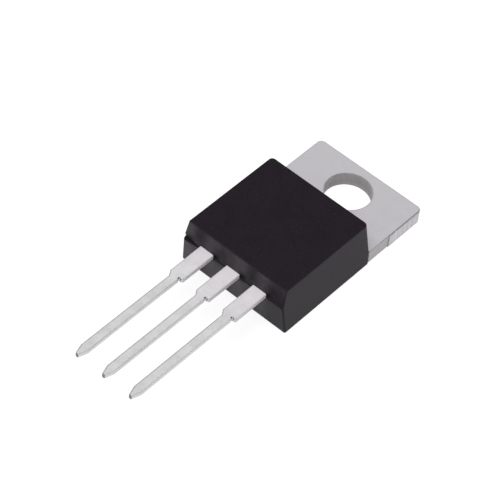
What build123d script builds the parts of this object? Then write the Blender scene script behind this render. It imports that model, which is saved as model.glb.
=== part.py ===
"""Three-lead power transistor with a metal mounting tab, in millimetres.

The origin is the centre of the mounting hole on the seating face. +X runs across the tab, +Y points to
the tab's free end, and +Z points up, away from the seating face. The leads run towards -Y.

The thick tab, the pad under the chip and the centre lead are one stamped and bent piece of copper. The
two outer leads, the chip, its solder and the bond wires stand where the lead frame held them, and the
epoxy body is moulded around all of them, so its cavity is cut by the pieces themselves.
"""

import os
from math import radians, tan

from build123d import *

# Tab and pad, one thick plate
tab_thickness = 1.27
tab_width = 10.04
tab_end_reach = 2.71  # from the hole's centre to the free end
tab_corner_radius = 0.45
hole_diameter = 3.74
tab_edge_round = 0.15  # rollover that stamping leaves round the upper face
web_cut_depth = 0.06  # where the bars to the neighbouring tabs were cut off
web_cut_start = 1.15  # from the hole's centre towards the body
pad_front_reach = 9.9
pad_face_width = 8.0  # the part that stays bare on the seating face
pad_lock_overhang = 0.3  # how far the pad's upper part overhangs the bare face
pad_lock_height = 0.45
lock_groove_reach = 4.3  # V groove across the pad that keeps moisture out
lock_groove_depth = 0.16

# Moulded body
body_width = 10.05  # at the seating face, where the body is widest
body_height = 4.35
body_back_reach = 3.45
body_front_reach = 13.2  # at the parting line, where the body is longest
side_draft = 4.7
back_draft = 6.5
front_draft_above = 11.5
front_draft_below = 7.0
back_foot_radius = 0.12  # the back corners, beside the tab
back_top_radius = 0.35  # and at the top
front_corner_radius = 0.13
top_edge_radius = 0.08
groove_depth = 0.09  # the line where the mould halves meet in front
groove_half_height = 0.07
gate_depth = 0.38  # the resin came in at the left end of that line and broke off there
gate_half_height = 0.45
gate_length = 1.9
notch_depth = 0.12  # at its right end the line opens into a small notch
notch_half_height = 0.14
notch_length = 0.5

# Leads
lead_pitch = 2.54
lead_thickness = 0.45
lead_plane = 2.60  # the leads' underside above the seating face
parting_rise = 0.2  # from there up to the body's parting line
lead_width = 0.72
root_width = 1.28
root_length = 3.12  # the wide stretch outside the body
left_shoulder_length = 0.45  # the bar between the leads was cut off here
right_shoulder_length = 0.17
shoulder_nick_radius = 0.1  # left by the cutting punch in the right shoulder's corner
lead_length = 13.25  # outside the body, tip included
tip_width = 0.24
tip_taper_length = 0.75
lead_edge_round = 0.09
lead_grip = 0.35  # how far the rounded blade runs into the body

# The centre lead's neck, bent up from the pad to the lead plane
neck_width = 2.4
neck_flat = 0.45
neck_angle = 55.0
neck_bend_radius = 0.5

# Bond posts, the wide inner ends of the outer leads
post_width = 2.3
post_length = 1.7
post_setback = 0.75  # resin between the body's front and the post
post_shift = 0.3  # outwards from the lead's own axis
post_corner_radius = 0.2

# Chip and solder
die_width = 3.6
die_length = 3.2
die_thickness = 0.28
die_reach = 7.4
solder_thickness = 0.05
solder_margin = 0.12

# Bond wires
base_wire_diameter = 0.2
emitter_wire_diameter = 0.38
emitter_wire_spacing = 1.0
wire_loop = 0.35  # the wire's axis above the posts' upper face, halfway along
wire_runs = 5  # straight runs between the small bends that the bonding tool makes
wire_foot_length = 2.2  # the flattened feet, as multiples of the wire's diameter
wire_foot_width = 1.5
wire_foot_height = 0.6
base_bond_inset = 0.6  # from the chip's edges to the base wire's foot
emitter_bond_inset = 1.1

# Heights and places that follow from the sizes above
lead_top = lead_plane + lead_thickness
parting_line = lead_plane + parting_rise
solder_top = tab_thickness + solder_thickness
die_top = solder_top + die_thickness
body_front = -body_front_reach
body_back = -body_back_reach
pad_front = -pad_front_reach
blade_root = body_front + lead_grip
shoulder = body_front - root_length
lead_tip = body_front - lead_length
post_front = body_front + post_setback
post_centre = post_front + post_length / 2
die_centre = -die_reach
die_front = die_centre - die_length / 2


def lean(height, draft_angle):
    """How far a drafted wall leans over a height."""
    return height * tan(radians(draft_angle))


# ------------------------------------------------------------------ lead blade
# What shows of each lead, about its own axis: a wide root, then the narrow pin with its pointed tip.
# The bar that held the leads together was cut off at the shoulders.

with BuildPart() as lead_blade:
    with BuildSketch(Plane.XY.offset(lead_plane)):
        with BuildLine():
            Polyline(
                (root_width / 2, blade_root),
                (root_width / 2, shoulder),
                (lead_width / 2, shoulder - right_shoulder_length),
                (lead_width / 2, lead_tip + tip_taper_length),
                (tip_width / 2, lead_tip),
                (-tip_width / 2, lead_tip),
                (-lead_width / 2, lead_tip + tip_taper_length),
                (-lead_width / 2, shoulder - left_shoulder_length),
                (-root_width / 2, shoulder),
                (-root_width / 2, blade_root),
                close=True,
            )
        make_face()
        with Locations((lead_width / 2, shoulder - right_shoulder_length)):
            Circle(shoulder_nick_radius, mode=Mode.SUBTRACT)
    extrude(amount=lead_thickness)
    long_edges = lead_blade.edges().filter_by(GeomType.LINE)
    long_edges = long_edges.filter_by(Axis.Z, reverse=True).filter_by(Axis.X, reverse=True)
    fillet(long_edges, lead_edge_round)


# ------------------------------------------------------------ centre lead neck
# A strip bent up from the pad's upper face to the lead plane, tapering from the pad to the blade.

strip_low = tab_thickness - lead_thickness / 2
strip_high = lead_plane + lead_thickness / 2
neck_start = pad_front - neck_flat
neck_end = neck_start - (strip_high - strip_low) / tan(radians(neck_angle))

with BuildPart() as neck:
    with BuildSketch(Plane.YZ):
        with BuildLine():
            FilletPolyline(
                (pad_front, strip_low),
                (neck_start, strip_low),
                (neck_end, strip_high),
                (blade_root, strip_high),
                radius=neck_bend_radius,
            )
        trace(line_width=lead_thickness)
    extrude(amount=neck_width / 2, both=True)
    with BuildSketch():
        with BuildLine():
            Polyline(
                (0, pad_front),
                (neck_width / 2, pad_front),
                (neck_width / 2, neck_start),
                (root_width / 2, post_front),
                (root_width / 2, blade_root),
                (0, blade_root),
            )
            mirror(about=Plane.YZ)
        make_face()
    extrude(amount=body_height, mode=Mode.INTERSECT)


# --------------------------------------------------------------- heat sink tab
# The tab with its hole, the pad and the centre lead in one piece.

with BuildPart() as heat_sink_tab:
    with BuildSketch() as tab_plan:
        with Locations((0, body_back)):
            Rectangle(tab_width, body_back_reach + tab_end_reach, align=(Align.CENTER, Align.MIN))
        fillet(tab_plan.vertices().group_by(Axis.Y)[-1], tab_corner_radius)
    extrude(amount=tab_thickness)
    upper_face = heat_sink_tab.faces().sort_by(Axis.Z)[-1]
    fillet(upper_face.outer_wire().edges().sort_by(Axis.Y)[1:], tab_edge_round)

    Hole(hole_diameter / 2)

    # The bars to the neighbouring tabs were cut off last, a little inside the tab's own edge.
    web_cut_length = body_back_reach - web_cut_start
    with BuildSketch():
        with Locations((0, body_back)):
            Rectangle(2 * tab_width, web_cut_length, align=(Align.CENTER, Align.MIN))
            Rectangle(
                tab_width - 2 * web_cut_depth,
                web_cut_length,
                align=(Align.CENTER, Align.MIN),
                mode=Mode.SUBTRACT,
            )
    extrude(amount=tab_thickness, mode=Mode.SUBTRACT)

    # The bare face is narrower than the pad above it, so the resin grips the pad's edge.
    with BuildSketch():
        with Locations((0, body_back)):
            Rectangle(pad_face_width, pad_front_reach - body_back_reach, align=(Align.CENTER, Align.MAX))
    extrude(amount=tab_thickness)
    with BuildSketch(Plane.XY.offset(pad_lock_height)):
        with Locations((0, body_back)):
            Rectangle(
                pad_face_width + 2 * pad_lock_overhang,
                pad_front_reach - body_back_reach,
                align=(Align.CENTER, Align.MAX),
            )
    extrude(amount=tab_thickness - pad_lock_height)

    # V groove across the pad
    with BuildSketch(Plane.YZ):
        with Locations((-lock_groove_reach, tab_thickness)):
            Rectangle(lock_groove_depth * 2**0.5, lock_groove_depth * 2**0.5, rotation=45)
    extrude(amount=tab_width, both=True, mode=Mode.SUBTRACT)

    add(neck.part)
    add(lead_blade.part)

heat_sink_tab.part.label = "heat_sink_tab"


# ----------------------------------------------------------------- outer leads


def outer_lead(side):
    """An outer lead with its bond post; side is -1 for the left one and 1 for the right one."""
    with BuildPart() as lead:
        with BuildSketch(Plane.XY.offset(lead_plane)):
            with Locations((0, blade_root)):
                Rectangle(root_width, post_centre - blade_root, align=(Align.CENTER, Align.MIN))
            with Locations((side * post_shift, post_centre)):
                RectangleRounded(post_width, post_length, post_corner_radius)
        extrude(amount=lead_thickness)
        add(lead_blade.part)
    return Pos(side * lead_pitch, 0, 0) * lead.part


base_lead = outer_lead(-1)
base_lead.label = "base_lead"
emitter_lead = outer_lead(1)
emitter_lead.label = "emitter_lead"


# -------------------------------------------------------------- chip and solder

with BuildPart(Plane.XY.offset(tab_thickness)) as die_attach_solder:
    with Locations((0, die_centre)):
        Box(
            die_width + 2 * solder_margin,
            die_length + 2 * solder_margin,
            solder_thickness,
            align=(Align.CENTER, Align.CENTER, Align.MIN),
        )

die_attach_solder.part.label = "die_attach_solder"

with BuildPart(Plane.XY.offset(solder_top)) as die:
    with Locations((0, die_centre)):
        Box(die_width, die_length, die_thickness, align=(Align.CENTER, Align.CENTER, Align.MIN))

die.part.label = "die"


# ------------------------------------------------------------------ bond wires


def bond_wire(label, diameter, die_bond, post_bond, post):
    """A wire looped from the chip up to a post, with both ends pressed flat where they are welded."""
    span = Vector(*post_bond) - Vector(*die_bond)
    foot_height = wire_foot_height * diameter
    upright = Plane(origin=(*die_bond, 0), x_dir=span, z_dir=span.cross(Vector(0, 0, 1)))
    with BuildPart() as wire:
        with BuildLine(upright) as loop:
            arch = ThreePointArc(
                (0, die_top + foot_height / 2),
                (span.length / 2, lead_top + wire_loop),
                (span.length, lead_top + foot_height / 2),
                mode=Mode.PRIVATE,
            )
            Polyline(*(arch @ (run / wire_runs) for run in range(wire_runs + 1)))
        with BuildSketch(Plane(origin=loop.line @ 0, z_dir=loop.line % 0)):
            Circle(diameter / 2)
        sweep(path=loop.line, transition=Transition.RIGHT)
        for bond, seat in ((die_bond, die_top), (post_bond, lead_top)):
            with BuildSketch(Plane(origin=(*bond, seat), x_dir=span, z_dir=(0, 0, 1))):
                SlotOverall(wire_foot_length * diameter, wire_foot_width * diameter)
            extrude(amount=foot_height)
        add(die.part, mode=Mode.SUBTRACT)
        add(post, mode=Mode.SUBTRACT)
    wire.part.label = label
    return wire.part


post_x = lead_pitch + post_shift

base_bond_wire = bond_wire(
    "base_bond_wire",
    base_wire_diameter,
    (base_bond_inset - die_width / 2, die_front + base_bond_inset),
    (-post_x, post_centre),
    base_lead,
)

emitter_bond_wires = [
    bond_wire(
        f"emitter_bond_wire_{place}",
        emitter_wire_diameter,
        (die_width / 4 + offset, die_front + emitter_bond_inset),
        (post_x + offset, post_centre),
        emitter_lead,
    )
    for place, offset in (("left", -emitter_wire_spacing / 2), ("right", emitter_wire_spacing / 2))
]


# ----------------------------------------------------------------- moulded body
# The upper mould half forms the top, the sides and the back, so the sides lean in all the way up and
# the back leans in above the tab. The lower half forms the front below the parting line at the leads.

with BuildPart() as moulded_body:
    levels = ((0, back_foot_radius), (tab_thickness, back_foot_radius), (body_height, back_top_radius))
    for level, corner_radius in levels:
        with BuildSketch(Plane.XY.offset(level)) as section:
            with Locations((0, body_back - lean(max(level - tab_thickness, 0), back_draft))):
                Rectangle(
                    body_width - 2 * lean(level, side_draft),
                    2 * body_front_reach,
                    align=(Align.CENTER, Align.MAX),
                )
            fillet(section.vertices().group_by(Axis.Y)[-1], corner_radius)
    loft(ruled=True)

    # Both front drafts, cut by the side profile
    with BuildSketch(Plane.YZ):
        with BuildLine():
            Polyline(
                (body_front + lean(parting_line, front_draft_below), 0),
                (body_front, parting_line),
                (body_front + lean(body_height - parting_line, front_draft_above), body_height),
                (0, body_height),
                (0, 0),
                close=True,
            )
        make_face()
    extrude(amount=body_width, both=True, mode=Mode.INTERSECT)

    corners = moulded_body.edges().filter_by_position(Axis.Y, 2 * body_front, body_front / 2)
    corners = corners.filter_by(lambda edge: abs((edge % 0.5).Z) > 0.9)
    fillet(corners, front_corner_radius)
    fillet(moulded_body.faces().sort_by(Axis.Z)[-1].edges(), top_edge_radius)

    # The parting line in front, a fine groove from the broken gate to the right corner's notch
    stations = [
        (-body_width / 2, gate_depth, gate_half_height),
        (-body_width / 2 + gate_length, groove_depth, groove_half_height),
        (body_width / 2 - notch_length, groove_depth, groove_half_height),
        (body_width / 2, notch_depth, notch_half_height),
    ]
    for x, depth, half_height in stations:
        with BuildSketch(Plane.YZ.offset(x)):
            with Locations((body_front, parting_line)):
                Polygon((-depth, 0), (0, half_height), (depth, 0), (0, -half_height))
    loft(ruled=True, mode=Mode.SUBTRACT)

    add(heat_sink_tab.part, mode=Mode.SUBTRACT)
    add(base_lead, mode=Mode.SUBTRACT)
    add(emitter_lead, mode=Mode.SUBTRACT)
    add(die_attach_solder.part, mode=Mode.SUBTRACT)
    add(die.part, mode=Mode.SUBTRACT)
    add(base_bond_wire, mode=Mode.SUBTRACT)
    add(emitter_bond_wires, mode=Mode.SUBTRACT)

moulded_body.part.label = "moulded_body"


# ----------------------------------------------------------------------- export

pieces = [
    heat_sink_tab.part,
    base_lead,
    emitter_lead,
    die_attach_solder.part,
    die.part,
    base_bond_wire,
    *emitter_bond_wires,
    moulded_body.part,
]

os.makedirs("parts", exist_ok=True)
for piece in pieces:
    export_step(piece, f"parts/{piece.label}.step")
    print(piece.label, "volume", round(piece.volume, 3), "mm3")
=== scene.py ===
# %% [markdown]
# # A power transistor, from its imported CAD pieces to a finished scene
#
# The CAD pieces already hold every shape: the stamped metal tab, the three leads, the moulded body and the
# chip inside it. What is left for Blender is the finish of each surface, a floor, soft light and a camera.
# So the lesson starts by loading the pieces. Each one sits at the origin with its place in its mesh, in
# metres, so nothing is moved, and one value turns the millimetres of a maker's drawing into metres.

# %% Load the pieces
import math

import bmesh
import bpy
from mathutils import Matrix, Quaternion, Vector


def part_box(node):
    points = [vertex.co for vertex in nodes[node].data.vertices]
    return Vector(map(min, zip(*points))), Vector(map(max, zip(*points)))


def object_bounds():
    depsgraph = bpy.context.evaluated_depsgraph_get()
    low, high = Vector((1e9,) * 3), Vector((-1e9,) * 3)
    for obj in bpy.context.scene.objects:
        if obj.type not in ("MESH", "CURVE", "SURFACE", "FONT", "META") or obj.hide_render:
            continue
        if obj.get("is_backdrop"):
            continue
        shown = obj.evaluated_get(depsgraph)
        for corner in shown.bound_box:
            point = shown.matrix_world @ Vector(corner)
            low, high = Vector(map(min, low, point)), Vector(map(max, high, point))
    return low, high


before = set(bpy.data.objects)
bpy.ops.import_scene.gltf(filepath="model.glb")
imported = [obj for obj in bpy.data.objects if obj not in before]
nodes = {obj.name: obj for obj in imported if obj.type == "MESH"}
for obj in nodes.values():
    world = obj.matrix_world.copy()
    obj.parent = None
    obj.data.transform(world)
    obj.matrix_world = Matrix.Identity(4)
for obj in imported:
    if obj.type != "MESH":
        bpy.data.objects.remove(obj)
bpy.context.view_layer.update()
millimetre = 0.001

for name, node in sorted(nodes.items()):
    low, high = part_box(name)
    size = [round(side / millimetre, 2) for side in high - low]
    print(f"{name}: {len(node.data.polygons)} triangles, {size} mm")

# %% [markdown]
# A colour is easiest to write as the hex code that a paint program shows. Blender's sockets want linear
# light, so one function turns the first into the second.

# %% Colours


def linear(hex_code):
    """The linear colour of an sRGB hex code such as "#c8c6c8", with an alpha of 1."""
    values = [int(hex_code[start : start + 2], 16) / 255 for start in (1, 3, 5)]
    return [v / 12.92 if v <= 0.04045 else ((v + 0.055) / 1.055) ** 2.4 for v in values] + [1.0]


print("mid grey #808080 is", round(linear("#808080")[0], 3), "in linear light")

# %% [markdown]
# A material is a tree of nodes. Adding a node, setting it and joining it to the nodes before it are always
# the same three steps, so one small function does them for every kind of node. Sockets are given by name,
# or by number where a node has two of the same name. A node given as a value stands for the first of its
# outputs that is in use, which is the one most often wanted.

# %% Nodes


def add_node(tree, kind, sockets=None, **settings):
    """Adds a node; for each input, sockets holds a value, an output, or a node, for its first output."""
    node = tree.nodes.new(kind)
    for name, value in settings.items():
        setattr(node, name, value)
    for key, value in (sockets or {}).items():
        if isinstance(value, bpy.types.Node):
            value = next(output for output in value.outputs if output.enabled)
        if isinstance(value, bpy.types.NodeSocket):
            tree.links.new(value, node.inputs[key])
        else:
            node.inputs[key].default_value = value
    return node


def new_material(name):
    """An empty material, its node tree, and the Object coordinates that its patterns read."""
    material = bpy.data.materials.new(name)
    material.use_nodes = True
    tree = material.node_tree
    tree.nodes.clear()
    place = add_node(tree, "ShaderNodeTexCoord").outputs["Object"]
    return material, tree, place


print("a node is made by its type's name, such as", bpy.types.ShaderNodeTexNoise.__name__)

# %% [markdown]
# ## Epoxy moulding compound
#
# The body is epoxy filled with ground silica and soot, pressed into a steel mould at 175 degrees. The soot
# makes it nearly black, with a hint of violet. One flat colour would look like a paper cut-out, so three
# patterns share the work. Wide clouds show where the resin flowed, and pale specks are silica grains at the
# surface. The third one finds the edges: the Bevel node gives the direction that a rounded edge would have,
# and where this differs from the true direction, handling has rubbed the skin a little greyer.

# %% Epoxy: colour
flow = 1.6 * millimetre
speck = 0.14 * millimetre
rubbed = 0.16 * millimetre

epoxy, tree, place = new_material("epoxy_moulding_compound")
clouds = add_node(tree, "ShaderNodeTexNoise", {"Vector": place, "Scale": 1 / flow, "Detail": 3.0})
resin = add_node(
    tree,
    "ShaderNodeMix",
    {0: clouds, 6: linear("#130d14"), 7: linear("#1a141b")},
    data_type="RGBA",
)
silica = add_node(tree, "ShaderNodeTexNoise", {"Vector": place, "Scale": 1 / speck, "Detail": 1.0})
specks = add_node(
    tree,
    "ShaderNodeMapRange",
    {"Value": silica, "From Min": 0.6, "From Max": 0.75, "To Min": 0.0, "To Max": 0.5},
)
speckled = add_node(tree, "ShaderNodeMix", {0: specks, 6: resin, 7: linear("#2c292e")}, data_type="RGBA")
surface = add_node(tree, "ShaderNodeNewGeometry")
rounded = add_node(tree, "ShaderNodeBevel", {"Radius": rubbed}, samples=4)
agree = add_node(
    tree,
    "ShaderNodeVectorMath",
    {0: rounded, 1: surface.outputs["Normal"]},
    operation="DOT_PRODUCT",
)
edge = add_node(
    tree,
    "ShaderNodeMapRange",
    {"Value": agree, "From Min": 0.98, "From Max": 0.8, "To Min": 0.0, "To Max": 0.6},
)
skin = add_node(tree, "ShaderNodeMix", {0: edge, 6: speckled, 7: linear("#322f34")}, data_type="RGBA")
print("resin clouds", flow / millimetre, "mm, silica specks", speck / millimetre, "mm")

# %% [markdown]
# A thin skin of resin creeps out between the mould halves, and is blasted off the front with fine grit. The
# face above each lead is painted greyer, in soft patches: a painted reflection of the bright leads in the
# front. These repeat with the leads, so a sine of x draws them, shifted by a part of its turn, and a noise
# breaks them up. The lower corner beyond the last lead lies in shade: the painted reflection fades there,
# from the lead outwards and from its height down.

# %% Epoxy: painted reflections on the front
pitch = 2.54 * millimetre
patch_shift = -0.11
patch_break = 1.1 * millimetre
sine_share = 0.25
front_limit = -0.8
lead_low, lead_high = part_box("base_lead")
lead_middle = (lead_low.z + lead_high.z) / 2
shaded_corner_from = pitch + 0.1 * millimetre
shaded_corner_width = 0.8 * millimetre
shaded_corner_up_to = lead_middle + 0.6 * millimetre
shaded_corner_top = lead_middle + 1.5 * millimetre

spot = add_node(tree, "ShaderNodeSeparateXYZ", {"Vector": place})
direction = add_node(tree, "ShaderNodeSeparateXYZ", {"Vector": surface.outputs["True Normal"]})
front = add_node(tree, "ShaderNodeMath", {0: direction.outputs["Y"], 1: front_limit}, operation="LESS_THAN")
turns = add_node(tree, "ShaderNodeMath", {0: spot.outputs["X"], 1: math.tau / pitch}, operation="MULTIPLY")
shifted = add_node(tree, "ShaderNodeMath", {0: turns, 1: math.tau * patch_shift}, operation="SUBTRACT")
repeated = add_node(tree, "ShaderNodeMath", {0: shifted}, operation="SINE")
broken = add_node(tree, "ShaderNodeTexNoise", {"Vector": place, "Scale": 1 / patch_break, "Detail": 2.0})
uneven = add_node(tree, "ShaderNodeMath", {0: repeated, 1: sine_share, 2: broken}, operation="MULTIPLY_ADD")
patches = add_node(
    tree,
    "ShaderNodeMapRange",
    {"Value": uneven, "From Min": 0.0, "From Max": 0.75, "To Min": 0.0, "To Max": 0.8},
)
# The lower corner beyond the last lead, which lies in shade: the painted reflection fades there, and the
# next cell paints it darker as painted shade.
shaded_corner_x = add_node(
    tree,
    "ShaderNodeMapRange",
    {
        "Value": spot.outputs["X"],
        "From Min": shaded_corner_from,
        "From Max": shaded_corner_from + shaded_corner_width,
        "To Min": 0.0,
        "To Max": 0.7,
    },
)
low = add_node(
    tree,
    "ShaderNodeMapRange",
    {
        "Value": spot.outputs["Z"],
        "From Min": shaded_corner_up_to,
        "From Max": shaded_corner_top,
        "To Min": 1.0,
        "To Max": 0.1,
    },
)
# The shaded corner, from the last lead outwards and from the leads' height down.
corner = add_node(tree, "ShaderNodeMath", {0: shaded_corner_x, 1: low}, operation="MULTIPLY")
reflected_front = add_node(tree, "ShaderNodeMath", {0: front, 1: corner}, operation="SUBTRACT")
reflected_front = add_node(tree, "ShaderNodeClamp", {"Value": reflected_front})
# Painted reflection: greyer patches where the front would mirror the bright leads.
painted_reflection = add_node(tree, "ShaderNodeMath", {0: patches, 1: reflected_front}, operation="MULTIPLY")
front_skin = add_node(tree, "ShaderNodeMix", {0: painted_reflection, 6: skin, 7: linear("#434044")}, data_type="RGBA")
print("patches repeat every", pitch / millimetre, "mm")

# %% [markdown]
# Beside each lead the front is painted black, in a spot to its right: a painted shadow of the lead. Another
# sine finds these spots, and the distance above or below the middle of the leads bounds them softly. The
# rest of the shaded corner is painted darker half as much, as painted shade. Deep places are painted black
# too, as painted shade, such as the groove and the place where the gate broke off. The Ambient Occlusion
# node finds
# those: it gives how open a point is.

# %% Epoxy: painted shadows and painted shade in deep places
shadow_shift = 0.09
shadow_height = 0.4 * millimetre
corner_shade_share = 0.5
reach = 0.35 * millimetre

beside = add_node(tree, "ShaderNodeMath", {0: turns, 1: math.tau * shadow_shift}, operation="SUBTRACT")
beside = add_node(tree, "ShaderNodeMath", {0: beside}, operation="SINE")
# Painted shadow: a dark spot to the right of each lead, where the lead shades the front.
lead_shadow_band = add_node(
    tree,
    "ShaderNodeMapRange",
    {"Value": beside, "From Min": 0.35, "From Max": 0.95, "To Min": 0.0, "To Max": 1.1},
)
hidden = add_node(tree, "ShaderNodeMath", {0: lead_shadow_band, 1: corner}, operation="MAXIMUM")
above_lead = add_node(tree, "ShaderNodeMath", {0: spot.outputs["Z"], 1: lead_middle}, operation="SUBTRACT")
away = add_node(tree, "ShaderNodeMath", {0: above_lead}, operation="ABSOLUTE")
level = add_node(
    tree,
    "ShaderNodeMapRange",
    {
        "Value": away,
        "From Min": 1.5 * shadow_height,
        "From Max": 0.5 * shadow_height,
        "To Min": 0.0,
        "To Max": 1.0,
    },
)
painted_shadow = add_node(tree, "ShaderNodeMath", {0: hidden, 1: level}, operation="MULTIPLY")
# Painted shade over the rest of the shaded corner, half as dark.
faint = add_node(tree, "ShaderNodeMath", {0: corner, 1: corner_shade_share}, operation="MULTIPLY")
painted_shadow = add_node(tree, "ShaderNodeMath", {0: painted_shadow, 1: faint}, operation="MAXIMUM")
painted_shadow = add_node(tree, "ShaderNodeMath", {0: painted_shadow, 1: front}, operation="MULTIPLY")
# Painted shade in deep places, such as the groove and the gate scar, found by how closed in they are.
openness = add_node(tree, "ShaderNodeAmbientOcclusion", {"Distance": reach}, samples=6, only_local=True)
painted_recess_shade = add_node(
    tree,
    "ShaderNodeMapRange",
    {"Value": openness.outputs["AO"], "From Min": 0.75, "From Max": 0.4, "To Min": 0.0, "To Max": 1.0},
)
painted_shade = add_node(tree, "ShaderNodeMath", {0: painted_recess_shade, 1: painted_shadow}, operation="MAXIMUM")
# The painted shadows and painted shade go in as near-black.
skin = add_node(tree, "ShaderNodeMix", {0: painted_shade, 6: front_skin, 7: linear("#050405")}, data_type="RGBA")
print("shelter within", shadow_height / millimetre, "mm of the middle of the leads")

# %% [markdown]
# The mould is spark eroded, which gives the skin a fine even grain and a low, broad shine. The real grain
# is about a hundredth of a millimetre, too fine to see, so it is drawn coarser. It goes into a bump, and
# the same noise makes the shine uneven. A low index of refraction gives the weak shine that such a dull
# skin has when it is looked at squarely, and it still brightens at a glancing angle.

# %% Epoxy: grain and shine
grain = 0.07 * millimetre
grain_depth = 0.006 * millimetre

grains = add_node(tree, "ShaderNodeTexNoise", {"Vector": place, "Scale": 1 / grain, "Detail": 3.0})
dull = add_node(
    tree,
    "ShaderNodeMapRange",
    {"Value": grains, "From Min": 0.3, "From Max": 0.7, "To Min": 0.36, "To Max": 0.46},
)
bump = add_node(
    tree,
    "ShaderNodeBump",
    {"Height": grains, "Strength": 0.3, "Distance": grain_depth, "Normal": rounded},
)
shader = add_node(
    tree,
    "ShaderNodeBsdfPrincipled",
    {
        "Base Color": skin,
        "Roughness": dull,
        "Normal": bump,
        "IOR": 1.21,
        "Specular Tint": linear("#fff4ff"),
    },
)
add_node(tree, "ShaderNodeOutputMaterial", {"Surface": shader})
print(epoxy.name, "has", len(tree.nodes), "nodes")

# %% [markdown]
# ## Tin-plated copper
#
# The tab and the leads are one copper strip, stamped, then plated with matte tin. The bath leaves soft
# clouds where the layer is thicker. After moulding, the leads are dipped in molten tin, which leaves them
# whiter than the tab. Towards the body they are painted whiter still, a painted light that makes up for the
# shade the dark body throws on their roots. Further out, bits of dross from the bath leave small greyer
# spots.
# The tab and the centre lead are one piece, so the same material has to hold both finishes. The dip line is
# where the leads come out of the body, and the Object coordinates tell which side of it a point lies.

# %% Tin: the plated tab and the dipped leads
tin_clouds = 0.9 * millimetre
cloud_share = 0.6
dip_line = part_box("moulded_body")[0].y
root_light_length = 5.0 * millimetre
root_light_most = 0.7
dross_size = 0.28 * millimetre

tin, tree, place = new_material("tin_plated_copper")
clouds = add_node(tree, "ShaderNodeTexNoise", {"Vector": place, "Scale": 1 / tin_clouds, "Detail": 4.0})
plated = add_node(
    tree,
    "ShaderNodeMix",
    {0: clouds, 6: linear("#bfbdc0"), 7: linear("#d4d2d5")},
    data_type="RGBA",
)
spot = add_node(tree, "ShaderNodeSeparateXYZ", {"Vector": place})
# Painted light: the leads are coloured whiter towards the body, standing in for light on their roots.
painted_root_light = add_node(
    tree,
    "ShaderNodeMapRange",
    {
        "Value": spot.outputs["Y"],
        "From Min": dip_line - root_light_length,
        "From Max": dip_line,
        "To Min": 0.0,
        "To Max": root_light_most,
    },
)
coat = add_node(tree, "ShaderNodeMath", {0: clouds, 1: cloud_share, 2: painted_root_light}, operation="MULTIPLY_ADD")
dross = add_node(tree, "ShaderNodeTexNoise", {"Vector": place, "Scale": 1 / dross_size, "Detail": 2.0})
pitted = add_node(
    tree,
    "ShaderNodeMapRange",
    {"Value": dross, "From Min": 0.45, "From Max": 0.75, "To Min": 0.0, "To Max": 0.9},
)
away_from_roots = add_node(tree, "ShaderNodeMath", {0: root_light_most, 1: painted_root_light}, operation="SUBTRACT")
pits = add_node(tree, "ShaderNodeMath", {0: pitted, 1: away_from_roots}, operation="MULTIPLY")
coat = add_node(tree, "ShaderNodeMath", {0: coat, 1: pits}, operation="SUBTRACT")
solder_dipped = add_node(
    tree,
    "ShaderNodeMix",
    {0: coat, 6: linear("#d1d1d1"), 7: linear("#dcd9dc")},
    data_type="RGBA",
)
dipped = add_node(tree, "ShaderNodeMath", {0: spot.outputs["Y"], 1: dip_line}, operation="LESS_THAN")
face_colour = add_node(tree, "ShaderNodeMix", {0: dipped, 6: plated, 7: solder_dipped}, data_type="RGBA")
print("dip line at y =", round(dip_line / millimetre, 2), "mm")

# %% [markdown]
# Stamping shears the plate, so its upright walls differ from its faces. The punch drags fine upright
# streaks down them, and the plating lies dull over these. A wall is found by its direction: the upright
# part of its normal is nearly nothing. A noise that is squeezed across and stretched upwards draws the
# streaks.

# %% Tin: sheared walls
streak_width = 0.09 * millimetre
streak_height = 0.9 * millimetre

surface = add_node(tree, "ShaderNodeNewGeometry")
direction = add_node(tree, "ShaderNodeSeparateXYZ", {"Vector": surface.outputs["True Normal"]})
upright = add_node(tree, "ShaderNodeMath", {0: direction.outputs["Z"]}, operation="ABSOLUTE")
wall = add_node(
    tree,
    "ShaderNodeMapRange",
    {"Value": upright, "From Min": 0.3, "From Max": 0.12, "To Min": 0.0, "To Max": 1.0},
)
squeezed = add_node(
    tree,
    "ShaderNodeMapping",
    {"Vector": place, "Scale": (1 / streak_width, 1 / streak_width, 1 / streak_height)},
)
streaks = add_node(tree, "ShaderNodeTexNoise", {"Vector": squeezed, "Scale": 1.0, "Detail": 3.0})
streak_depth = add_node(
    tree,
    "ShaderNodeMapRange",
    {"Value": streaks, "From Min": 0.35, "From Max": 0.65, "To Min": 0.0, "To Max": 1.0},
)
sheared = add_node(
    tree,
    "ShaderNodeMix",
    {0: streak_depth, 6: linear("#d2d0d2"), 7: linear("#eae8ea")},
    data_type="RGBA",
)
walls_on_tab = add_node(tree, "ShaderNodeMath", {0: wall, 1: dipped}, operation="SUBTRACT")
wall_share = add_node(tree, "ShaderNodeClamp", {"Value": walls_on_tab})
with_walls = add_node(tree, "ShaderNodeMix", {0: wall_share, 6: face_colour, 7: sheared}, data_type="RGBA")
print("streaks", round(streak_width / millimetre, 2), "mm wide")

# %% [markdown]
# Two more places on the tab are darker than the rest. The hole's wall is the first, and its lower part is
# the darker one: the punch burnished the upper part, and the metal tore away below it. It is a wall nearer
# the hole's axis, which is the z axis, than any other. The rollover is the second: the rounded upper edge,
# where the plate was drawn down before it sheared. It is painted darker, a painted shade for the dark line
# that the dim light from the sides leaves along it. Its normals lean, and the Compare node picks them out.

# %% Tin: hole wall and rollover
hole_limit = 2.2 * millimetre
torn_up_to = 0.5 * millimetre
burnished_from = 1.2 * millimetre
lean_middle = 0.55
lean_half = 0.3

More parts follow.
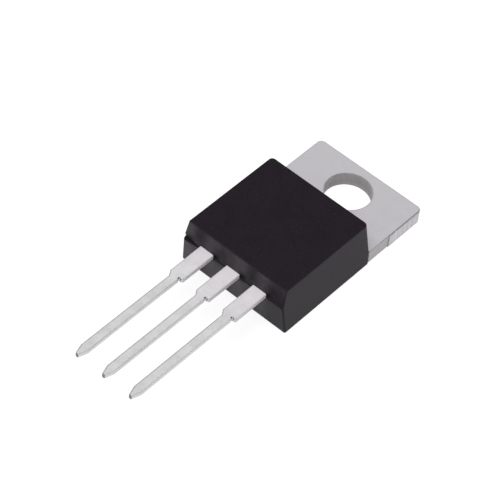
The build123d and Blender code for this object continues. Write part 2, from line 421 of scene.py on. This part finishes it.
flat_place = add_node(tree, "ShaderNodeCombineXYZ", {"X": spot.outputs["X"], "Y": spot.outputs["Y"]})
radius = add_node(tree, "ShaderNodeVectorMath", {0: flat_place}, operation="LENGTH")
near_axis = add_node(tree, "ShaderNodeMath", {0: radius, 1: hole_limit}, operation="LESS_THAN")
pierced = add_node(tree, "ShaderNodeMath", {0: near_axis, 1: wall}, operation="MULTIPLY")
burnished = add_node(
    tree,
    "ShaderNodeMapRange",
    {
        "Value": spot.outputs["Z"],
        "From Min": torn_up_to,
        "From Max": burnished_from,
        "To Min": 0.0,
        "To Max": 1.0,
    },
)
pierced_colour = add_node(
    tree,
    "ShaderNodeMix",
    {0: burnished, 6: linear("#b0aeaf"), 7: linear("#c4c2c3")},
    data_type="RGBA",
)
with_hole = add_node(
    tree,
    "ShaderNodeMix",
    {0: pierced, 6: with_walls, 7: pierced_colour},
    data_type="RGBA",
)
leaning = add_node(tree, "ShaderNodeMath", {0: upright, 1: lean_middle, 2: lean_half}, operation="COMPARE")
# Painted shade: the rollover's leaning faces are coloured darker, for the dark line that light leaves along
# the edge.
rollover_shade = add_node(tree, "ShaderNodeMath", {0: leaning, 1: dipped}, operation="SUBTRACT")
rollover_shade = add_node(tree, "ShaderNodeClamp", {"Value": rollover_shade})
dull_and_shaded_places = add_node(
    tree,
    "ShaderNodeMix",
    {0: rollover_shade, 6: with_hole, 7: linear("#a3a2a3")},
    data_type="RGBA",
)
print("hole wall within", hole_limit / millimetre, "mm of the axis")

# %% [markdown]
# Three places were cut last of all, after the plating: the sides of the tab beside the body, where the bars
# to its neighbours were; the nicks at the shoulders of the leads; and the ends of the pins. The pins' ends
# show bare copper that has gone dull and brown-grey, and each nick is coloured dark in a band under its
# upper edge.
# Each place is a wall within a stretch of y, so the Compare node, which is 1 within a distance of a value,
# finds it.

# %% Tin: cut ends
bar_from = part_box("moulded_body")[1].y
bar_to = -1.15 * millimetre
root_length = 3.12 * millimetre
shoulder_length = 0.17 * millimetre
nick = dip_line - root_length - shoulder_length
nick_half = 0.08 * millimetre
nick_dark_band = 0.18 * millimetre
pin_end = lead_low.y
end_half = 0.01 * millimetre

above = add_node(
    tree,
    "ShaderNodeMath",
    {0: spot.outputs["Z"], 1: lead_high.z - nick_dark_band},
    operation="GREATER_THAN",
)
below = add_node(tree, "ShaderNodeMath", {0: spot.outputs["Z"], 1: lead_high.z}, operation="LESS_THAN")

cut_colour = dull_and_shaded_places
for centre, half, hex_code, place_in_height in (
    ((bar_from + bar_to) / 2, (bar_to - bar_from) / 2, "#cbc9ca", below),
    (nick, nick_half, "#68635f", above),
    (pin_end, end_half, "#85807b", below),
):
    near = add_node(tree, "ShaderNodeMath", {0: spot.outputs["Y"], 1: centre, 2: half}, operation="COMPARE")
    share = add_node(tree, "ShaderNodeMath", {0: near, 1: wall}, operation="MULTIPLY")
    share = add_node(tree, "ShaderNodeMath", {0: share, 1: place_in_height}, operation="MULTIPLY")
    cut_colour = add_node(
        tree,
        "ShaderNodeMix",
        {0: share, 6: cut_colour, 7: linear(hex_code)},
        data_type="RGBA",
    )
print("nicks and pin ends at y =", [round(y / millimetre, 2) for y in (nick, pin_end)], "mm")

# %% [markdown]
# Along the tab's edges the tin is scuffed thin in places, and the copper under it makes them duller; the
# darker edges are also a painted shade for the dark lines that light leaves along them. The leads are
# handled less after they are dipped, so their edges are less worn. The left edge of the pins is painted
# greyer, a painted shade for the dimmer light on that side. The Bevel node finds the edges again, and a
# rounded normal that leans to the left finds that one.

# %% Tin: worn edges, with painted shade
worn_width = 0.16 * millimetre
scuff_size = 0.25 * millimetre
less_on_leads = 0.45

rounded = add_node(tree, "ShaderNodeBevel", {"Radius": worn_width}, samples=4)
agree = add_node(
    tree,
    "ShaderNodeVectorMath",
    {0: rounded, 1: surface.outputs["Normal"]},
    operation="DOT_PRODUCT",
)
# Darker edges: partly wear of the tin, partly a painted shade for the dark lines that light leaves along
# them.
edge = add_node(
    tree,
    "ShaderNodeMapRange",
    {"Value": agree, "From Min": 0.99, "From Max": 0.75, "To Min": 0.0, "To Max": 0.8},
)
scuffs = add_node(tree, "ShaderNodeTexNoise", {"Vector": place, "Scale": 1 / scuff_size, "Detail": 2.0})
scuffed = add_node(
    tree,
    "ShaderNodeMapRange",
    {"Value": scuffs, "From Min": 0.35, "From Max": 0.6, "To Min": 0.3, "To Max": 1.2},
)
edge_wear_and_shade = add_node(
    tree,
    "ShaderNodeMath",
    {0: dipped, 1: -less_on_leads, 2: edge},
    operation="MULTIPLY_ADD",
)
edge_wear_and_shade = add_node(tree, "ShaderNodeMath", {0: edge_wear_and_shade, 1: scuffed}, operation="MULTIPLY")
edge_wear_and_shade_share = add_node(tree, "ShaderNodeClamp", {"Value": edge_wear_and_shade})
worn_and_shaded_edges = add_node(
    tree,
    "ShaderNodeMix",
    {0: edge_wear_and_shade_share, 6: cut_colour, 7: linear("#a1a0a1")},
    data_type="RGBA",
)
lean = add_node(tree, "ShaderNodeSeparateXYZ", {"Vector": rounded})
# Painted shade: the pins' left edges are coloured greyer, for the side where the light is dimmer.
left_lean_share = add_node(
    tree,
    "ShaderNodeMapRange",
    {"Value": lean.outputs["X"], "From Min": -0.12, "From Max": -0.5, "To Min": 0.0, "To Max": 1.4},
)
painted_left_shade = add_node(tree, "ShaderNodeMath", {0: left_lean_share, 1: dipped}, operation="MULTIPLY")
painted_left_shade = add_node(tree, "ShaderNodeMath", {0: painted_left_shade, 1: away_from_roots}, operation="MULTIPLY")
tinned = add_node(tree, "ShaderNodeMix", {0: painted_left_shade, 6: worn_and_shaded_edges, 7: linear("#8f8e8d")}, data_type="RGBA")
print("worn edges", worn_width / millimetre, "mm wide, scuffs", scuff_size / millimetre, "mm")

# %% [markdown]
# Matte tin shines broadly, because its surface is a mass of tiny crystals, a few thousandths of a
# millimetre across. They are drawn coarser, as a faint bump. The dip leaves soft waves over them, and sets
# smoothest on the sides of the pins, so these shine more sharply and show the white paper.

# %% Tin: shine
crystals = 0.06 * millimetre
crystal_depth = 0.004 * millimetre
waves = 0.45 * millimetre
wave_depth = 0.02 * millimetre
sharper_by = 0.65

dull = add_node(
    tree,
    "ShaderNodeMapRange",
    {"Value": clouds, "From Min": 0.3, "From Max": 0.7, "To Min": 0.82, "To Max": 0.95},
)
smooth_sides = add_node(tree, "ShaderNodeMath", {0: wall, 1: dipped}, operation="MULTIPLY")
smooth_sides = add_node(tree, "ShaderNodeMath", {0: smooth_sides, 1: away_from_roots}, operation="MULTIPLY")
sharper = add_node(
    tree,
    "ShaderNodeMath",
    {0: smooth_sides, 1: -sharper_by, 2: dull},
    operation="MULTIPLY_ADD",
)
matte = add_node(tree, "ShaderNodeTexNoise", {"Vector": place, "Scale": 1 / crystals, "Detail": 2.0})
wavy = add_node(tree, "ShaderNodeTexNoise", {"Vector": place, "Scale": 1 / waves, "Detail": 1.0})
fine_bump = add_node(
    tree,
    "ShaderNodeBump",
    {"Height": matte, "Strength": 0.25, "Distance": crystal_depth, "Normal": rounded},
)
bump = add_node(
    tree,
    "ShaderNodeBump",
    {"Height": wavy, "Strength": 0.3, "Distance": wave_depth, "Normal": fine_bump},
)
shader = add_node(
    tree,
    "ShaderNodeBsdfPrincipled",
    {"Base Color": tinned, "Metallic": 1.0, "Roughness": sharper, "Normal": bump},
)
add_node(tree, "ShaderNodeOutputMaterial", {"Surface": shader})
print(tin.name, "has", len(tree.nodes), "nodes")

# %% [markdown]
# ## The chip and its solder
#
# The chip is silicon, dark and glassy where it was sawn. Its upper face is covered with aluminium, under
# which rows of small transistor cells show as a relief. The cells are a few hundredths of a millimetre,
# drawn here at an eighth of a millimetre as a brick pattern. The body hides all this, but a sectioned model
# shows it.

# %% Silicon chip
cell = 0.125 * millimetre
cell_depth = 0.003 * millimetre
saw_grain = 0.05 * millimetre
facing_up = 0.5

silicon, tree, place = new_material("silicon_chip")
surface = add_node(tree, "ShaderNodeNewGeometry")
direction = add_node(tree, "ShaderNodeSeparateXYZ", {"Vector": surface.outputs["True Normal"]})
metallised = add_node(
    tree,
    "ShaderNodeMath",
    {0: direction.outputs["Z"], 1: facing_up},
    operation="GREATER_THAN",
)
cells = add_node(
    tree,
    "ShaderNodeTexBrick",
    {
        "Vector": place,
        "Color1": linear("#d2d3d4"),
        "Color2": linear("#c6c7c9"),
        "Mortar": linear("#a3a5a9"),
        "Scale": 1 / cell,
        "Mortar Size": 0.12,
        "Brick Width": 1.0,
        "Row Height": 1.0,
    },
    offset=0.0,
)
sawn = add_node(tree, "ShaderNodeTexNoise", {"Vector": place, "Scale": 1 / saw_grain, "Detail": 3.0})
sawn_colour = add_node(
    tree,
    "ShaderNodeMix",
    {0: sawn, 6: linear("#3c4047"), 7: linear("#5b5f68")},
    data_type="RGBA",
)
chip_colour = add_node(
    tree,
    "ShaderNodeMix",
    {0: metallised, 6: sawn_colour, 7: cells.outputs["Color"]},
    data_type="RGBA",
)
dull = add_node(
    tree,
    "ShaderNodeMapRange",
    {"Value": sawn, "From Min": 0.3, "From Max": 0.7, "To Min": 0.2, "To Max": 0.4},
)
bump = add_node(
    tree,
    "ShaderNodeBump",
    {"Height": cells.outputs["Fac"], "Strength": 0.4, "Distance": cell_depth},
    invert=True,
)
shader = add_node(
    tree,
    "ShaderNodeBsdfPrincipled",
    {"Base Color": chip_colour, "Metallic": 1.0, "Roughness": dull, "Normal": bump},
)
add_node(tree, "ShaderNodeOutputMaterial", {"Surface": shader})
print(silicon.name, "has", len(tree.nodes), "nodes")

# %% [markdown]
# The solder under the chip is mostly lead, with a little tin. Once it has set it is grey, with a frosted
# look from crystals about a tenth of a millimetre across. A Voronoi pattern gives such cells: each one
# takes its own shade, and each one shines a little differently.

# %% Chip solder
frost = 0.1 * millimetre
frost_depth = 0.005 * millimetre

solder, tree, place = new_material("lead_tin_solder")
crystal = add_node(tree, "ShaderNodeTexVoronoi", {"Vector": place, "Scale": 1 / frost})
tone = add_node(tree, "ShaderNodeSeparateColor", {"Color": crystal.outputs["Color"]})
grey = add_node(
    tree,
    "ShaderNodeMix",
    {0: tone.outputs[0], 6: linear("#8b8d91"), 7: linear("#a9abae")},
    data_type="RGBA",
)
dull = add_node(
    tree,
    "ShaderNodeMapRange",
    {"Value": tone.outputs[1], "From Min": 0.0, "From Max": 1.0, "To Min": 0.35, "To Max": 0.6},
)
bump = add_node(
    tree,
    "ShaderNodeBump",
    {"Height": crystal.outputs["Distance"], "Strength": 0.4, "Distance": frost_depth},
)
shader = add_node(
    tree,
    "ShaderNodeBsdfPrincipled",
    {"Base Color": grey, "Metallic": 1.0, "Roughness": dull, "Normal": bump},
)
add_node(tree, "ShaderNodeOutputMaterial", {"Surface": shader})
print(solder.name, "has", len(tree.nodes), "nodes")

# %% [markdown]
# ## Bond wires
#
# The wires are pure aluminium, drawn through a die, which leaves fine lines along them. They all run along
# y, so a noise stretched along y draws the lines, in the colour, in the roughness and as a faint bump. Real
# ones are too fine to see, so these are coarser.

# %% Aluminium wire
line_width = 0.02 * millimetre
line_length = 1.2 * millimetre
line_depth = 0.003 * millimetre

aluminium, tree, place = new_material("drawn_aluminium_wire")
stretched = add_node(
    tree,
    "ShaderNodeMapping",
    {"Vector": place, "Scale": (1 / line_width, 1 / line_length, 1 / line_width)},
)
lines = add_node(tree, "ShaderNodeTexNoise", {"Vector": stretched, "Scale": 1.0, "Detail": 2.0})
metal = add_node(
    tree,
    "ShaderNodeMix",
    {0: lines, 6: linear("#d4d5d6"), 7: linear("#e5e6e7")},
    data_type="RGBA",
)
dull = add_node(
    tree,
    "ShaderNodeMapRange",
    {"Value": lines, "From Min": 0.3, "From Max": 0.7, "To Min": 0.22, "To Max": 0.4},
)
bump = add_node(tree, "ShaderNodeBump", {"Height": lines, "Strength": 0.3, "Distance": line_depth})
shader = add_node(
    tree,
    "ShaderNodeBsdfPrincipled",
    {"Base Color": metal, "Metallic": 1.0, "Roughness": dull, "Normal": bump},
)
add_node(tree, "ShaderNodeOutputMaterial", {"Surface": shader})
print(aluminium.name, "has", len(tree.nodes), "nodes")

# %% [markdown]
# ## Giving each piece its finish
#
# A mesh has slots that hold its materials. The CAD pieces keep their meshes, and only the slot's content is
# changed.

# %% Assign
finishes = {
    "heat_sink_tab": tin,
    "base_lead": tin,
    "emitter_lead": tin,
    "moulded_body": epoxy,
    "die": silicon,
    "die_attach_solder": solder,
    "base_bond_wire": aluminium,
    "emitter_bond_wire_left": aluminium,
    "emitter_bond_wire_right": aluminium,
}
for name, material in finishes.items():
    nodes[name].data.materials.clear()
    nodes[name].data.materials.append(material)
    print(name, "is", material.name)

# %% [markdown]
# ## Camera
#
# A long lens some way off keeps the edges of a small part nearly parallel. The camera looks down on the
# transistor from the front right, at 49 degrees, and is rolled a little. Its place comes from those angles,
# the point it looks at and the distance, and its turn from the line back to that point.

# %% Camera
azimuth = math.radians(36.45)
elevation = math.radians(49.0)
roll = math.radians(6.99)
aim = Vector((-0.635, -10.575, 2.6)) * millimetre
distance = 166.6 * millimetre

sideways = math.cos(elevation)
back = Vector((math.sin(azimuth) * sideways, -math.cos(azimuth) * sideways, math.sin(elevation)))
camera_data = bpy.data.cameras.new("camera")
camera_data.lens = 165.9
camera_data.sensor_width = 36
camera_data.clip_start = 0.001
camera_data.clip_end = 10
camera = bpy.data.objects.new("camera", camera_data)
bpy.context.scene.collection.objects.link(camera)
camera.location = aim + distance * back
camera.rotation_mode = "QUATERNION"
camera.rotation_quaternion = (-back).to_track_quat("-Z", "Y") @ Quaternion((0, 0, 1), roll)
bpy.context.scene.camera = camera
print("camera", round(distance / millimetre, 1), "mm away, at", [round(v, 3) for v in camera.location])

# %% [markdown]
# ## Floor
#
# The part lies on white paper, which has to look white without more light than the part can take. The Light
# Path node tells what kind of ray asks for the colour. To the camera and to reflections the paper glows by
# itself, and only a weak part of it takes the light, so that it is white and keeps a faint soft shadow. To
# all other rays it is plain paper, so it doesn't light the part from below more than paper would. The paper
# lies a hundredth of a millimetre under the part, because two faces in exactly the same plane would show
# through each other.

# %% Floor
paper_half_side = 1500 * millimetre
paper_gap = 0.01 * millimetre

mesh = bmesh.new()
bmesh.ops.create_grid(mesh, x_segments=1, y_segments=1, size=paper_half_side)
bmesh.ops.translate(mesh, verts=mesh.verts, vec=(0, 0, -paper_gap))
floor_mesh = bpy.data.meshes.new("floor")
mesh.to_mesh(floor_mesh)
mesh.free()
floor = bpy.data.objects.new("floor", floor_mesh)
bpy.context.scene.collection.objects.link(floor)
floor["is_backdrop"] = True

paper, tree, _ = new_material("white_paper")
rays = add_node(tree, "ShaderNodeLightPath")
seen = rays.outputs["Is Camera Ray"]
for kind in ("Is Glossy Ray", "Is Transmission Ray"):
    seen = add_node(tree, "ShaderNodeMath", {0: seen, 1: rays.outputs[kind]}, operation="MAXIMUM")
plain = add_node(tree, "ShaderNodeBsdfDiffuse", {"Color": linear("#e6e6e6")})
weak = add_node(tree, "ShaderNodeBsdfDiffuse", {"Color": linear("#6a6a6a")})
glow = add_node(tree, "ShaderNodeEmission", {"Color": linear("#ffffff"), "Strength": 0.87})
bright = add_node(tree, "ShaderNodeAddShader", {0: weak, 1: glow})
mixed = add_node(tree, "ShaderNodeMixShader", {0: seen, 1: plain, 2: bright})
add_node(tree, "ShaderNodeOutputMaterial", {"Surface": mixed})
floor_mesh.materials.append(paper)
print("floor", [round(v, 2) for v in floor.dimensions], "m")

# %% [markdown]
# ## Light
#
# The light is that of a white tent: an even glow from all round, and one large soft lamp above. The lamp
# hangs nearly overhead, a little in front, so that the tall body shades neither the leads in front of it
# nor the tab behind it. It is almost as wide as its distance, so shadows fade quickly. Together they light
# a white face to just about white, so each colour shows nearly as written.

# %% Light
world = bpy.data.worlds.new("world")
bpy.context.scene.world = world
world.use_nodes = True
background = world.node_tree.nodes["Background"]
background.inputs["Color"].default_value = linear("#ffffff")
background.inputs["Strength"].default_value = 0.4

lamp_data = bpy.data.lights.new("overhead_lamp", "AREA")
lamp_data.shape = "SQUARE"
lamp_data.size = 300 * millimetre
lamp_data.energy = 1.85
lamp = bpy.data.objects.new("overhead_lamp", lamp_data)
bpy.context.scene.collection.objects.link(lamp)
lamp.location = Vector((0, -80, 378)) * millimetre
lamp.rotation_mode = "QUATERNION"
lamp.rotation_quaternion = (aim - lamp.location).to_track_quat("-Z", "Y")
print("lamp", round((lamp.location - aim).length / millimetre), "mm away")

# %% [markdown]
# ## Finish
#
# The Standard view shows colours as they were written. The box of all that is shown, without the floor, is
# printed in millimetres.

# %% Finish
bpy.context.scene.view_settings.view_transform = "Standard"
low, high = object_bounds()
print("visual box", [round((b - a) / millimetre, 2) for a, b in zip(low, high)], "mm")
